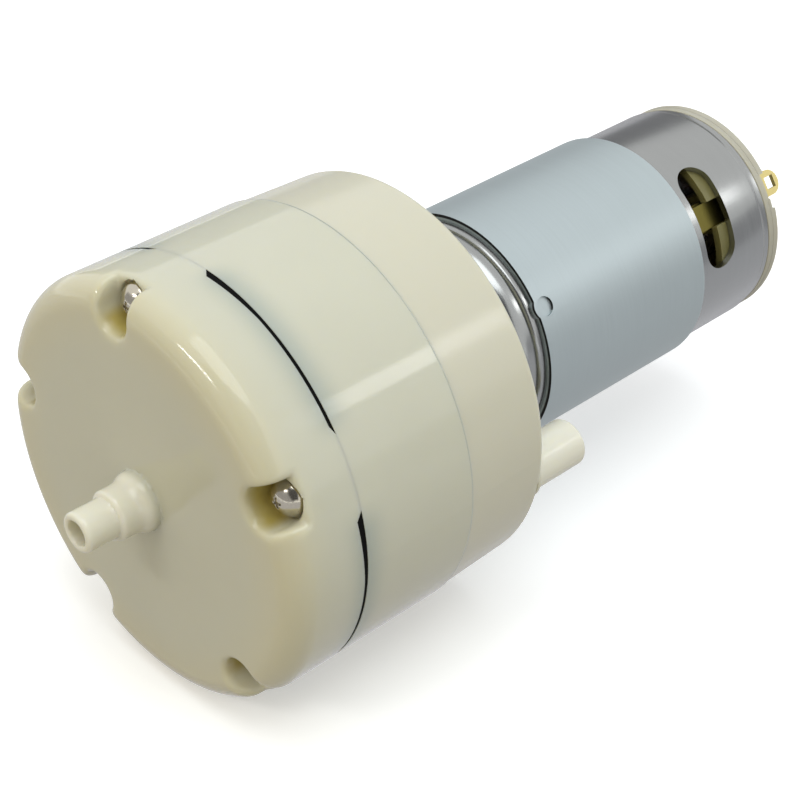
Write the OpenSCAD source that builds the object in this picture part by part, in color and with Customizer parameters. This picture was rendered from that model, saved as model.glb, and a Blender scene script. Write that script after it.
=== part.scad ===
// Mini air pump: a five-chamber diaphragm pump head on a brushed motor with a drawn steel can.
// The shaft lies along Y: the outlet nozzle points to -Y and the motor's tail to +Y.
// Every piece is drawn upright on the shaft, at a height counted from the middle of the flux
// ring towards the outlet nozzle, and lay() then turns that height to -Y.

/* [Pump body] */
// Outer diameter of the round pump body
body_d = 73; // [70:0.5:80]
// Length of the front cover, from the parting plane to its flat face
cover_l = 14.5; // [13.5:0.1:18]
// Length of the pump block, behind the parting plane
block_l = 22.4; // [21:0.1:26]
// Length of the rear housing
rear_l = 17.2; // [15.5:0.1:22]
// Wall of the pump block
shell_wall = 2.8; // [2.2:0.1:3.2]
// Rounding of the cover's front edge
edge_r = 4.8; // [2:0.1:6]
// How much smaller the rear housing is than the block, on the radius
rear_step = 0.3; // [0.1:0.05:0.6]
// Draft of the rear housing over its length, on the radius
rear_draft = 0.5; // [0:0.05:0.8]
// Rounding of the rear housing's back edge
rear_edge_r = 1.2; // [0.5:0.1:2]
// Height of the seat between the rear housing and the motor's face
neck_l = 10; // [8:0.1:13]
// Turn of the pump body's screws about the shaft
head_roll = 25.2; // [0:0.1:72]

/* [Head screws] */
// Number of screws, and of chambers between them
chambers = 5; // [3:1:5]
// Thread diameter
screw_d = 3; // [2.5:0.1:3.5]
// Length under the head
screw_l = 35; // [33:0.5:37]
// Diameter of the domed head
screw_head_d = 6; // [5:0.1:6.4]
// Height of the domed head
screw_head_h = 2.2; // [1.6:0.1:2.8]
// From the body's outer surface to the screw's axis
screw_edge = 4.2; // [4:0.1:4.6]
// Thickness of the cover under the screw's head
screw_floor = 6.4; // [6:0.1:7.5]
// Gap between a screw's head and the wall of its notch
notch_gap = 1.3; // [0.8:0.1:1.5]
// Rounding of the notch's mouth at the face
notch_flare = 1.6; // [0.8:0.1:2]

/* [Sealing lips] */
// Height of the slit in which the diaphragm's lip shows
slit_w = 0.45; // [0.3:0.05:0.8]
// Height of the slit near its wide end
slit_wide = 1.05; // [0.5:0.05:1.4]
// Length over which the slit narrows from its wide end
slit_swell = 11; // [4:0.5:16]
// Length of arc of a slit, in degrees
slit_arc = 53; // [40:1:56]
// Length of a slit's pointed ends
slit_taper = 2.2; // [1:0.1:5]
// How far the lip lies below the body's outer surface
lip_inset = 0.5; // [0.2:0.05:1.5]

/* [Nozzles] */
// Outer diameter of the outlet's foot, for a large hose
nozzle_base_d = 8.6; // [7.8:0.1:10]
// Length of the outlet's foot
nozzle_base_l = 6.5; // [4:0.1:10]
// Outer diameter of the outlet's tip, for a small hose
nozzle_tip_d = 6.9; // [6:0.1:7.4]
// Length of the outlet's tip
nozzle_tip_l = 6; // [4:0.1:10]
// Bore of the outlet
nozzle_bore_d = 4.4; // [3:0.1:5]
// Rounding of the nozzles' edges
nozzle_round = 0.6; // [0.2:0.05:0.8]
// Outer diameter of the inlet port
port_d = 8.4; // [7.5:0.1:9]
// Length of the inlet port
port_l = 11.8; // [8:0.1:16]
// Bore of the inlet port
port_bore_d = 4.8; // [3:0.1:5.5]
// From the body's outer surface to the inlet port's axis
port_edge = 5.6; // [5.2:0.1:7]

/* [Chambers] */
// Distance from the shaft's axis to a chamber's axis
chamber_r = 16.8; // [16.6:0.1:17.2]
// Bore of a chamber in the block
chamber_d = 16.8; // [15.5:0.1:17.2]
// Gap between a diaphragm cup and its bore
cup_gap = 0.5; // [0.3:0.05:0.8]
// Wall of a diaphragm cup
cup_wall = 0.9; // [0.6:0.05:1.3]
// Sealing land round the chambers
land = 1; // [0.8:0.1:1.2]
// Thickness of the diaphragm's flange
flange_t = 1.2; // [0.8:0.1:1.6]
// Thickness of the valve plate
plate_t = 3; // [2.4:0.1:3.6]
// Thickness of the head gasket
gasket_t = 0.8; // [0.5:0.1:1.2]
// Thickness of the block's deck
deck_t = 4; // [3:0.1:5]
// Diameter of a transfer passage
passage_d = 4; // [2.5:0.1:4.2]

/* [Wobble drive] */
// Angle between the oblique pin and the shaft
tilt = 6; // [3:0.5:7]
// Turn of the oblique pin about the shaft, at rest
crank = 90; // [0:1:359]
// Depth of the wobble plate's middle below the parting plane
pivot_depth = 9.6; // [9.2:0.1:11]
// Thickness of an arm
arm_t = 3; // [2.4:0.1:3.6]
// Diameter of an arm's round end
arm_d = 10; // [9:0.1:12]
// Diameter of the wobble plate's hub
hub_d = 11; // [9:0.1:13]
// Diameter of the oblique pin
pin_d = 4; // [3:0.1:5]
// Depth of the pin in the eccentric wheel
pin_grip = 5.5; // [4:0.1:6]
// Diameter of the eccentric wheel's disc
wheel_d = 22; // [18:0.5:26]
// Thickness of the eccentric wheel's disc
wheel_t = 8.5; // [7.5:0.1:10]
// Diameter of the eccentric wheel's collar
collar_d = 15; // [12:0.5:16]
// Gap between the disc and the joint of block and rear housing
wheel_drop = 0.3; // [0:0.1:2]
// Diameter of the grub screw
grub_d = 4; // [3:0.5:5]

/* [Motor] */
// Outer diameter of the steel can
can_d = 42; // [40:0.2:44]
// Length of the steel can
can_l = 69.4; // [68.6:0.2:76]
// Wall of the can
can_wall = 1.2; // [0.8:0.1:1.5]
// Rounding of the can's front shoulder
shoulder_r = 4; // [2:0.1:4.4]
// Drawn step in front of the shoulder, on the radius
draw_step = 0.7; // [0.3:0.05:1]
// Thickness of the can's front plate
face_t = 2; // [1.5:0.1:2.4]
// Length of the flux ring
ring_l = 41; // [38:0.5:44]
// Thickness of the flux ring
ring_t = 0.95; // [0.6:0.05:1.5]
// Bare can in front of the flux ring
ring_inset = 6.5; // [5.8:0.1:8]
// Diameter of the punched dimples in the ring
dimple_d = 3.5; // [2:0.1:4]
// Height of a vent slot along the shaft
vent_w = 10.4; // [8:0.1:11]
// Arc of a vent slot, in degrees
vent_arc = 57; // [40:1:70]
// Distance of the vent slots' middle from the can's rear edge
vent_back = 16.5; // [15.5:0.1:18]
// Turn of the motor about the shaft
motor_roll = 34.5; // [0:0.5:90]
// Diameter of the motor shaft
shaft_d = 5; // [4:0.1:6]
// Distance between the two motor screws
motor_pitch = 29; // [28:0.5:29]
// Thread diameter of the motor screws
motor_screw_d = 4; // [3:0.5:4]
// Length of the motor screws
motor_screw_l = 16; // [14.5:0.5:16.5]
// Air gap between core and magnets
air_gap = 0.7; // [0.4:0.05:1]
// Thickness of the magnets
magnet_t = 3.8; // [3:0.1:4.5]
// Diameter of the commutator
comm_d = 11; // [9.5:0.1:12]
// Outer diameter of the ball bearings
bearing_d = 16; // [14:0.5:16.5]
// Width of the ball bearings
bearing_w = 5; // [4:0.1:5.4]
// Thickness of the end cap's rim behind the can
cap_rim = 1.6; // [1:0.1:2.4]
// Width of the terminal tabs
tab_w = 4.8; // [4:0.1:6.3]
// Thickness of the terminal tabs
tab_t = 0.8; // [0.5:0.05:1]
// Length of a terminal tab outside the end cap
tab_l = 5.3; // [4:0.1:8]

/* [Hidden] */
$fn = 96;

// Fits and clearances
eps = 0.01;
seat_gap = 0.02;
slide_gap = 0.05;
run_gap = 0.05;
loose_gap = 0.1;
screw_gap = 0.15;

// Colours
ivory = [0.88, 0.87, 0.79];
milky = [0.90, 0.91, 0.86];
black_rubber = [0.05, 0.05, 0.05];
steel = [0.70, 0.71, 0.72];
dark_steel = [0.35, 0.35, 0.37];
zinc_blue = [0.69, 0.74, 0.76];
copper = [0.72, 0.40, 0.20];
brass = [0.80, 0.66, 0.30];
graphite = [0.12, 0.12, 0.13];
nylon = [0.84, 0.82, 0.76];

// Heights along the shaft
can_front = ring_l / 2 + ring_inset;
can_rear = can_front - can_l;
rear_face = can_front + neck_l;
joint_h = rear_face + rear_l;
part_h = joint_h + block_l;
face_h = part_h + cover_l;
step_h = face_h + nozzle_base_l;
tip_h = step_h + nozzle_tip_l;

// Pump body
body_r = body_d / 2;
pitch = 360 / chambers;
screw_r = body_r - screw_edge;
boss_r = 3.8;
notch_r = screw_head_d / 2 + notch_gap;
notch_reach = screw_edge + 2;
corner_r = 1.4;
chamber_roll = head_roll + pitch / 2;
cavity_r = body_r - shell_wall;
lip_t = 1.6;
lip_h = 2;
rear_cavity_r = cavity_r - loose_gap - lip_t;
rear_wall = 3;
rear_floor = rear_face + rear_wall;
screw_seat_h = part_h + screw_floor;
screw_hole_foot = screw_seat_h - screw_l - 1.5;

// Stack of head pieces
bore_r = chamber_d / 2;
pocket_r = chamber_r + bore_r + land;
stack_r = pocket_r - loose_gap;
flange_h = part_h + flange_t;
plate_h = flange_h + plate_t;
pocket_h = plate_h + gasket_t;
slit_inner = pocket_r - 2;
slit_under = 0.3;
recess_part = 0.55;
recess_deep = 0.6;
recess_wing = 0.28;
face_wall = 2.6;
ceiling_h = face_h - face_wall;
wall_t = 1.6;
web_turn = pitch / 4;

// Umbrella valves: stem, cap, and the ring of ports under the cap
valve_stem_r = 0.9;
valve_cap_t = 0.6;
valve_room = 0.2;
inlet_cap_r = 3.3;
inlet_port_r = 0.9;
inlet_ring = 2.1;
inlet_r = chamber_r + 3;
outlet_cap_r = 2.4;
outlet_port_r = 0.8;
outlet_ring = 1.55;
outlet_r = chamber_r - 5.4;
plenum_r = outlet_r + outlet_cap_r + valve_room;
manifold_r = pocket_r - 1.4;
passage_r = manifold_r - passage_d / 2 - valve_room;

// Diaphragm cups and the stems that hold them on the arms
mouth_r = bore_r - cup_gap - cup_wall;
cup_straight = 1.2;
waist_r = 5.6;
pad_r = 4.6;
pad_t = 1.6;
stem_r = 2.2;
stem_hole_r = 2.6;
knob_r = 3.1;
knob_rim = 0.6;
knob_l = 2.2;

// Wobble drive
pivot_h = part_h - pivot_depth;
hub_l = 12;
pin_top = 0.6;
pin_reach = (pivot_h - joint_h + wheel_drop + pin_grip) / cos(tilt);
rib_t = 1.8;
wheel_h = joint_h - wheel_drop;
wheel_foot = wheel_h - wheel_t;
collar_l = 10;
shaft_top = wheel_h - pin_grip - 0.6;
pocket_turn = 38;
balance_r = 1.7;

// Motor
can_r = can_d / 2;
can_bore = can_r - can_wall;
plate_foot = can_front - face_t;
neck_r = motor_pitch / 2 + 3;
neck_wall = 2.5;
neck_floor = 3;
spigot_wall = 0.75;
spigot_r = bearing_d / 2 + spigot_wall;
bearing_foot = can_front - 1;
spigot_h = bearing_foot + bearing_w + 0.8;
vent_h = can_rear + vent_back;
brush_h = vent_h - 1;
magnet_foot = vent_h + vent_w / 2 + 2.6;
magnet_l = can_front - 7.1 - magnet_foot;
magnet_arc = 128;
magnet_r = can_bore - loose_gap;
core_r = magnet_r - magnet_t - air_gap;
front_turns = 5.2;
rear_turns = 5.5;
comm_l = 11.5;
comm_foot = brush_h - 4.7;
comm_top = comm_foot + comm_l;
coil_foot = comm_top + 0.6;
coil_top = plate_foot - 1.8;
core_foot = coil_foot + rear_turns;
core_l = coil_top - front_turns - core_foot;
poles = 5;
pole_turn = 360 / poles;
slot_r = core_r * 0.27;
slot_place = core_r * 0.62;
slot_mouth = 1.6;
turn_round = 1.8;
comm_r = comm_d / 2;
bar_t = 1.6;
bar_gap = 0.6;
hook_l = 1.2;
race_r = shaft_d / 2 + 1.2;
outer_race_t = 1.4;
shield_t = 0.4;
dimple_deep = 0.5;
spring_strip = 0.5;
cap_foot = can_rear - cap_rim;
rear_bearing_foot = cap_foot + 0.1;
cap_boss_r = bearing_d / 2 + 1.5;
brush_w = 4.2;
brush_t = 5.6;
brush_l = 6.5;
box_wall = 0.6;
box_w = brush_w + 2 * (box_wall + slide_gap);
box_t = brush_t + 2 * (box_wall + slide_gap);
tab_r = can_r - 3;
spring_r = 1.5;
spring_wire = 0.5;
spring_turns = 4;
spring_l = tab_r - tab_t / 2 - comm_r - brush_l - 3 * seat_gap;
skirt_t = 1.4;
skirt_r = can_bore - loose_gap;
skirt_top = vent_h - 2.5;

// Turns upright pieces so that their height runs along -Y
module lay() rotate([90, 0, 0]) children();

// Places children n times round the shaft
module round_shaft(n, turn, r) {
    for (k = [0 : n - 1]) rotate([0, 0, turn + k * 360 / n]) translate([r, 0, 0]) children();
}

// A cylinder between two heights
module rod(r, low, high) translate([0, 0, low]) cylinder(r = r, h = high - low);

// A tube between two heights
module tube(ro, ri, low, high) {
    difference() {
        rod(ro, low, high);
        rod(ri, low - 1, high + 1);
    }
}

// A rod with a rounded upper edge
module round_rod(r, low, high, round) {
    rotate_extrude() {
        translate([0, low]) square([r, high - low - round]);
        translate([0, low]) square([r - round, high - low]);
        translate([r - round, high - round]) circle(round);
    }
}

// Fillet at the foot of a hose stub, with a base that reaches into the wall it stands on
module foot_fillet(stub_r) {
    rotate_extrude() difference() {
        translate([0, -nozzle_round]) square([stub_r + nozzle_round, 2 * nozzle_round]);
        translate([stub_r + nozzle_round, nozzle_round]) circle(nozzle_round);
    }
}

// Tips children about the pivot point, as the oblique pin does
module tipped() {
    translate([0, 0, pivot_h]) rotate([0, 0, crank]) rotate([0, -tilt, 0]) rotate([0, 0, -crank])
        children();
}

// Outline of a slit across its arc: pointed ends that run on below the parting plane, one of
// them wider than the rest
function slit_half() = body_r * sin(slit_arc / 2);
module slit_prism(inner, outer, lower, shorter) {
    half = slit_half() - shorter;
    thin = slit_w - lower;
    wide = slit_wide - lower;
    foot = -slit_under;
    rotate([0, 0, 90]) rotate([90, 0, 0]) translate([0, 0, -outer])
        linear_extrude(outer - inner)
            polygon([[foot * slit_taper / wide - half, foot], [half - foot * slit_taper / thin, foot],
                [half - slit_taper, thin], [slit_taper + slit_swell - half, thin],
                [slit_taper - half, wide]]);
}
module slits(inner, outer, lower, shorter) {
    for (k = [0 : chambers - 1]) rotate([0, 0, chamber_roll + k * pitch + 180])
        translate([0, 0, part_h]) slit_prism(inner, outer, lower, shorter);
}

// Open notch round a screw's head, rounded where it meets the flank and the face
module notch_plan() {
    corner_x = sqrt(pow(body_r, 2) - pow(notch_r + corner_r, 2)) - screw_r;
    circle(notch_r);
    translate([0, -notch_r]) square([notch_reach, 2 * notch_r]);
    for (side = [-1, 1]) difference() {
        translate([corner_x - corner_r, side > 0 ? notch_r : -notch_r - corner_r])
            square([corner_r + 2, corner_r]);
        translate([corner_x - corner_r, side * (notch_r + corner_r)]) circle(corner_r);
    }
}
module flare_profile() {
    difference() {
        translate([notch_r - 0.5, -notch_flare]) square([notch_flare + 0.5, notch_flare + 1]);
        translate([notch_r + notch_flare, -notch_flare]) circle(notch_flare);
    }
}
module notch_cut() {
    translate([0, 0, screw_seat_h]) linear_extrude(face_h - screw_seat_h + 1) notch_plan();
    translate([0, 0, face_h]) rotate_extrude() flare_profile();
    for (side = [0, 1]) translate([0, 0, face_h]) mirror([0, side, 0])
        rotate([90, 0, 90]) linear_extrude(notch_reach) flare_profile();
}

// Cover with the outlet nozzle, the plenum behind it and the inlet compartments round it
module head_cover() color(ivory) lay() difference() {
    union() {
        round_rod(body_r, part_h, face_h, edge_r);
        round_rod(nozzle_base_d / 2, face_h - 1, step_h, nozzle_round);
        round_rod(nozzle_tip_d / 2, step_h - 1, tip_h, nozzle_round);
        translate([0, 0, face_h]) foot_fillet(nozzle_base_d / 2);
    }
    round_shaft(chambers, head_roll, screw_r) notch_cut();
    round_shaft(chambers, head_roll, screw_r)
        rod(screw_d / 2 + screw_gap, part_h - 1, face_h);
    rod(pocket_r, part_h - 1, pocket_h);
    rod(plenum_r, pocket_h - eps, ceiling_h);
    rod(nozzle_bore_d / 2, ceiling_h - 1, tip_h + 1);
    inlet_compartments();
    slits(slit_inner, body_r + 1, 0, 0);
}

module inlet_compartments() {
    difference() {
        tube(manifold_r, plenum_r + wall_t, pocket_h - eps, ceiling_h - 1);
        round_shaft(chambers, chamber_roll + web_turn, 0)
            translate([0, -wall_t / 2, pocket_h - 1]) cube([pocket_r, wall_t, face_h - pocket_h]);
    }
}

// Gasket with the pattern of the cover's walls
module head_gasket() color(black_rubber) lay() {
    low = plate_h;
    high = pocket_h;
    tube(stack_r, manifold_r, low, high);
    tube(plenum_r + wall_t, plenum_r, low, high);
    round_shaft(chambers, chamber_roll + web_turn, 0)
        translate([plenum_r + wall_t / 2, -wall_t / 2, low])
            cube([manifold_r - plenum_r, wall_t, gasket_t]);
}

// Valve plate with a hole for each valve's stem, round ports beside it and transfer passages
module valve_plate() color(milky) lay() difference() {
    rod(stack_r, flange_h, plate_h);
    round_shaft(chambers, head_roll, passage_r) rod(passage_d / 2, part_h, pocket_h);
    round_shaft(chambers, chamber_roll, inlet_r) {
        rod(valve_stem_r + slide_gap, part_h, pocket_h);
        for (a = [0, 120, 240]) rotate([0, 0, a]) translate([inlet_ring, 0, 0])
            rod(inlet_port_r, part_h, pocket_h);
    }
    round_shaft(chambers, chamber_roll, outlet_r) {
        rod(valve_stem_r + slide_gap, part_h, pocket_h);
        for (a = [0, 100, 260]) rotate([0, 0, a]) translate([outlet_ring, 0, 0])
            rod(outlet_port_r, part_h, pocket_h);
    }
}

// Umbrella valve: a thin cap on a stem, with a knob that snaps through the plate
module umbrella(cap_r) {
    knob_h = plate_t + 0.05;
    rotate_extrude() {
        polygon([[0, -valve_cap_t - 0.5], [1.2, -valve_cap_t - 0.4], [cap_r - 0.3, -valve_cap_t],
            [cap_r, -valve_cap_t + 0.2], [cap_r, -seat_gap], [0, -seat_gap]]);
        translate([0, -seat_gap]) square([valve_stem_r, knob_h + 0.1]);
        translate([0, knob_h])
            polygon([[0, 0], [1.25, 0], [1.25, 0.35], [0.7, 1.1], [0, 1.2]]);
    }
}
module inlet_valves() color(black_rubber) lay()
    round_shaft(chambers, chamber_roll, inlet_r) translate([0, 0, flange_h]) umbrella(inlet_cap_r);
module outlet_valves() color(black_rubber) lay()
    round_shaft(chambers, chamber_roll, outlet_r) translate([0, 0, plate_h]) mirror([0, 0, 1])
        umbrella(outlet_cap_r);

// Rubber diaphragm: a flange with a lip in each slit and a cup for each chamber, whose pad and
// stem stand square on the tipped arm that works it
function arm_lift(k) = chamber_r * sin(tilt) * cos(chamber_roll + k * pitch - crank);
module cup(k) {
    foot = pivot_h + arm_lift(k) + arm_t / 2 + pad_t / 2 - part_h;
    outer = bore_r - cup_gap;
    rotate([0, 0, chamber_roll + k * pitch]) translate([chamber_r, 0, part_h]) rotate_extrude()
        polygon([[mouth_r, flange_t / 2], [outer, flange_t / 2], [outer, -cup_straight],
            [waist_r, foot + 0.6], [pad_r - 0.3, foot - 0.2], [0, foot - 0.2],
            [0, foot + cup_wall + 0.3], [waist_r - cup_wall - 0.4, foot + cup_wall + 0.5],
            [mouth_r, -cup_straight]]);
}
module stem() {
    face = arm_t / 2 + run_gap;
    back = -arm_t / 2 - run_gap;
    rod(pad_r, face, face + pad_t);
    rod(stem_r, back - knob_rim / 2, face + pad_t / 2);
    rod(knob_r, back - knob_rim, back);
    translate([0, 0, back - knob_l]) cylinder(r1 = knob_r * 0.4, r2 = knob_r, h = knob_l - knob_rim);
}
module diaphragm() color(black_rubber) lay() {
    difference() {
        union() {
            rod(stack_r, part_h, flange_h - seat_gap);
            intersection() {
                rod(body_r - lip_inset, part_h, part_h + slit_wide);
                slits(slit_inner, body_r + 1, seat_gap, slide_gap);
            }
        }
        round_shaft(chambers, chamber_roll, chamber_r) rod(mouth_r, part_h - 1, flange_h + 1);
        round_shaft(chambers, head_roll, passage_r) rod(passage_d / 2, part_h - 1, flange_h + 1);
    }
    for (k = [0 : chambers - 1]) cup(k);
    tipped() round_shaft(chambers, chamber_roll, chamber_r) stem();
}

// Plan of a cavity, with room left for the screw bosses
module cavity_plan(r) difference() {
    circle(r);
    round_shaft(chambers, head_roll, screw_r) circle(boss_r);
}

// Pump block: outer shell, deck with the chamber bores and passages, and screw bosses
module pump_block() color(ivory) lay() difference() {
    rod(body_r, joint_h, part_h);
    translate([0, 0, joint_h - 1]) linear_extrude(block_l - deck_t + 1) cavity_plan(cavity_r);
    round_shaft(chambers, chamber_roll, chamber_r) rod(bore_r, joint_h, part_h + 1);
    round_shaft(chambers, head_roll, passage_r) rod(passage_d / 2, joint_h, part_h + 1);
    round_shaft(chambers, head_roll, screw_r)
        rod(screw_d / 2 + screw_gap, joint_h - 1, part_h + 1);
}

// Outer form of the rear housing, tapered with a rounded back edge
function arc(x, y, r, from, to, n) =
    [for (i = [0 : n]) let (a = from + (to - from) * i / n) [x + r * cos(a), y + r * sin(a)]];
module rear_form() {
    wide = body_r - rear_step;
    slim = wide - rear_draft;
    rotate_extrude() polygon(concat([[0, rear_face]],
        arc(slim - rear_edge_r, rear_face + rear_edge_r, rear_edge_r, -90, 0, 8),
        [[wide, joint_h], [0, joint_h]]));
}
module rear_housing() color(ivory) lay() difference() {
    union() {
        difference() {
            rear_form();
            translate([0, 0, rear_floor]) linear_extrude(rear_l) cavity_plan(rear_cavity_r);
        }
        locating_lip();
        rod(neck_r, can_front, rear_face + 1);
        inlet_port();
    }
    neck_hollow();
    round_shaft(chambers, head_roll, screw_r)
        rod(screw_d / 2 + seat_gap, screw_hole_foot, joint_h + 1);
    port_place() rod(port_bore_d / 2, rear_face - port_l - 1, rear_floor + 2);
}

// Lip that centres the block, cut away round the screw bosses
module locating_lip() translate([0, 0, joint_h - 0.5]) linear_extrude(lip_h + 0.5) difference() {
    circle(rear_cavity_r + lip_t);
    circle(rear_cavity_r);
    round_shaft(chambers, head_roll, screw_r) circle(boss_r + 0.3);
}

// Inlet port, midway between two screws
module port_place() rotate([0, 0, head_roll - pitch / 2]) translate([body_r - port_edge, 0, 0])
    children();
module inlet_port() port_place() translate([0, 0, rear_face]) mirror([0, 0, 1]) {
    round_rod(port_d / 2, -rear_wall / 2, port_l, nozzle_round);
    foot_fillet(port_d / 2);
}

// Hollow of the motor seat, with a boss left for each motor screw
module neck_hollow() {
    translate([0, 0, can_front + neck_floor]) linear_extrude(neck_l + 1) difference() {
        circle(neck_r - neck_wall);
        round_shaft(2, motor_roll + 90, motor_pitch / 2) circle(motor_screw_d / 2 + 2);
    }
    rod(spigot_r + loose_gap, can_front - 1, rear_floor + 1);
    round_shaft(2, motor_roll + 90, motor_pitch / 2)
        rod(motor_screw_d / 2 + screw_gap, can_front - 1, rear_floor + 1);
}

// Domed screw with a plain shank, standing on its head's seat
module domed_screw(d, l, head_d, head_h) {
    rim = head_h * 0.3;
    dome = head_h - rim;
    sphere_r = (pow(head_d / 2, 2) + pow(dome, 2)) / (2 * dome);
    difference() {
        union() {
            rod(d / 2, -l, 0.1);
            rod(head_d / 2, 0, rim);
            rotate_extrude() intersection() {
                translate([0, rim]) square([head_d, head_h]);
                translate([0, head_h - sphere_r]) circle(sphere_r);
            }
        }
        translate([0, 0, head_h]) cross_recess(head_d * recess_part, head_h * recess_deep);
    }
}

// Cross recess for the screwdriver, narrowing inwards
module cross_recess(across, deep) {
    wing = across * recess_wing;
    intersection() {
        translate([0, 0, -deep]) cylinder(r1 = wing, r2 = across / 2 + deep * 0.1, h = deep * 1.1);
        for (a = [0, 90]) rotate([0, 0, a]) translate([-across, -wing / 2, -deep - 1])
            cube([2 * across, wing, deep + 2]);
    }
}
module head_screws() color(steel) lay() round_shaft(chambers, head_roll, screw_r)
    translate([0, 0, screw_seat_h])
        domed_screw(screw_d, screw_l, screw_head_d, screw_head_h);
module motor_screws() color(steel) lay() round_shaft(2, motor_roll + 90, motor_pitch / 2)
    translate([0, 0, rear_floor])
        domed_screw(motor_screw_d, motor_screw_l, motor_screw_d * 1.75, motor_screw_d * 0.55);

// Wobble plate: a star of arms on a hub that runs on the oblique pin
module wobble_plate() color(milky) lay() tipped() difference() {
    union() {
        rod(hub_d / 2, -hub_l, arm_t / 2);
        for (k = [0 : chambers - 1]) rotate([0, 0, chamber_roll + k * pitch]) {
            translate([0, -arm_d * 0.4, -arm_t / 2]) cube([chamber_r, arm_d * 0.8, arm_t]);
            translate([chamber_r, 0, 0]) rod(arm_d / 2, -arm_t / 2, arm_t / 2);
            arm_rib();
        }
    }
    rod(pin_d / 2 + run_gap, -hub_l - 1, pin_top + loose_gap);
    round_shaft(chambers, chamber_roll, chamber_r) rod(stem_hole_r, -arm_t, arm_t);
}

// Web under an arm, deep at the hub and running out before the stem
module arm_rib() {
    end = chamber_r - knob_r - 1.4;
    rotate([90, 0, 0]) translate([0, 0, -rib_t / 2]) linear_extrude(rib_t)
        polygon([[hub_d / 2 - 1, 0], [hub_d / 2 - 1, -hub_l * 0.7], [end, -arm_t / 2], [end, 0]]);
}

module oblique_pin() color(steel) lay() tipped() rod(pin_d / 2, 0.2 - pin_reach, pin_top);

// Eccentric wheel: a disc with the oblique hole, balanced by pockets on the pin's side, and a
// collar on the shaft
module eccentric_wheel() color(brass) lay() difference() {
    union() {
        rod(wheel_d / 2, wheel_foot, wheel_h);
        rod(collar_d / 2, wheel_foot - collar_l, wheel_h);
    }
    rod(shaft_d / 2 + seat_gap, wheel_foot - collar_l - 1, shaft_top + 0.2);
    tipped() rod(pin_d / 2 + seat_gap, -pin_reach, 0);
    for (side = [-1, 1]) rotate([0, 0, crank + side * pocket_turn])
        translate([wheel_d / 2 - balance_r - 0.9, 0, 0]) rod(balance_r, wheel_foot + 1.5, wheel_h + 1);
    grub_place() rod(grub_d / 2 + seat_gap, 0, collar_d);
}

// Grub screw, square to the shaft in the collar, opposite the pin
module grub_place() translate([0, 0, wheel_foot - collar_l / 2]) rotate([0, 0, crank + 180])
    rotate([0, 90, 0]) children();
module grub_screw() color(dark_steel) lay() grub_place() difference() {
    rod(grub_d / 2, shaft_d / 2 + slide_gap, collar_d / 2 - 0.4);
    translate([0, 0, collar_d / 2 - 2.2]) cylinder(d = grub_d / 2, h = 3, $fn = 6);
}

module motor_shaft() color(steel) lay() rod(shaft_d / 2, rear_bearing_foot, shaft_top);

// Laminated core with its slots
module slots_plan(r, open) {
    for (k = [0 : poles - 1]) rotate([0, 0, motor_roll + k * pole_turn]) {
        translate([slot_place, 0]) circle(r);
        if (open) translate([slot_place, -slot_mouth / 2]) square([core_r, slot_mouth]);
    }
}
module armature_core() color(dark_steel) lay() translate([0, 0, core_foot])
    linear_extrude(core_l) difference() {
        circle(core_r);
        slots_plan(slot_r, true);
        circle(shaft_d / 2 + seat_gap);
    }

// Windings: a bar of wire in each slot and the end turns, parted between the poles
module end_turns(low, high) {
    height = high - low;
    inner = shaft_d / 2 + 1.2;
    outer = core_r - 1.6;
    difference() {
        translate([0, 0, low]) rotate_extrude() {
            translate([inner, 0]) square([outer - inner, height - turn_round]);
            translate([inner, 0]) square([outer - inner - turn_round, height]);
            translate([outer - turn_round, height - turn_round]) circle(turn_round);
        }
        round_shaft(poles, motor_roll, slot_place + slot_r * 0.6)
            rod(slot_r * 0.55, low + height * 0.45, high + 1);
    }
}
module windings() color(copper) lay() {
    core_top = core_foot + core_l;
    translate([0, 0, core_foot - 0.5]) linear_extrude(core_l + 1) slots_plan(slot_r - loose_gap, false);
    end_turns(core_top + seat_gap, coil_top);
    translate([0, 0, 2 * core_foot]) mirror([0, 0, 1])
        end_turns(core_foot + seat_gap, 2 * core_foot - coil_foot);
}

// Commutator: copper bars with hooks at the windings' end, on a moulded hub
module commutator() color(copper) lay() difference() {
    union() {
        tube(comm_r, comm_r - bar_t, comm_foot, comm_top);
        tube(comm_r + hook_l, comm_r - bar_t, comm_top - hook_l, comm_top);
    }
    for (k = [0 : poles - 1]) rotate([0, 0, motor_roll + (k + 0.5) * pole_turn])
        translate([0, -bar_gap / 2, comm_foot - 1]) cube([core_r, bar_gap, comm_l + 2]);
}
module commutator_hub() color(graphite) lay()
    tube(comm_r - bar_t - seat_gap, shaft_d / 2 + seat_gap, comm_foot - 0.8, comm_top);

// Ball bearings: outer race with its shields, and inner race on the shaft
module outer_race(low) {
    outer = bearing_d / 2;
    difference() {
        rod(outer, low, low + bearing_w);
        rod(outer - outer_race_t, low + shield_t, low + bearing_w - shield_t);
        rod(race_r + screw_gap, low - 1, low + bearing_w + 1);
    }
}
module front_bearing() color(steel) lay() outer_race(bearing_foot);
module rear_bearing() color(steel) lay() outer_race(rear_bearing_foot);
module bearing_inner_races() color(steel) lay()
    for (low = [bearing_foot, rear_bearing_foot])
        tube(race_r, shaft_d / 2 + seat_gap, low, low + bearing_w);

// Fibre washers between the races and the parts that turn with them
module shaft_washers() color(graphite) lay() {
    tube(race_r + 0.2, shaft_d / 2 + seat_gap, coil_top + 0.1, bearing_foot);
    tube(race_r + 0.2, shaft_d / 2 + seat_gap, rear_bearing_foot + bearing_w, comm_foot - 0.9);
}

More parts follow.
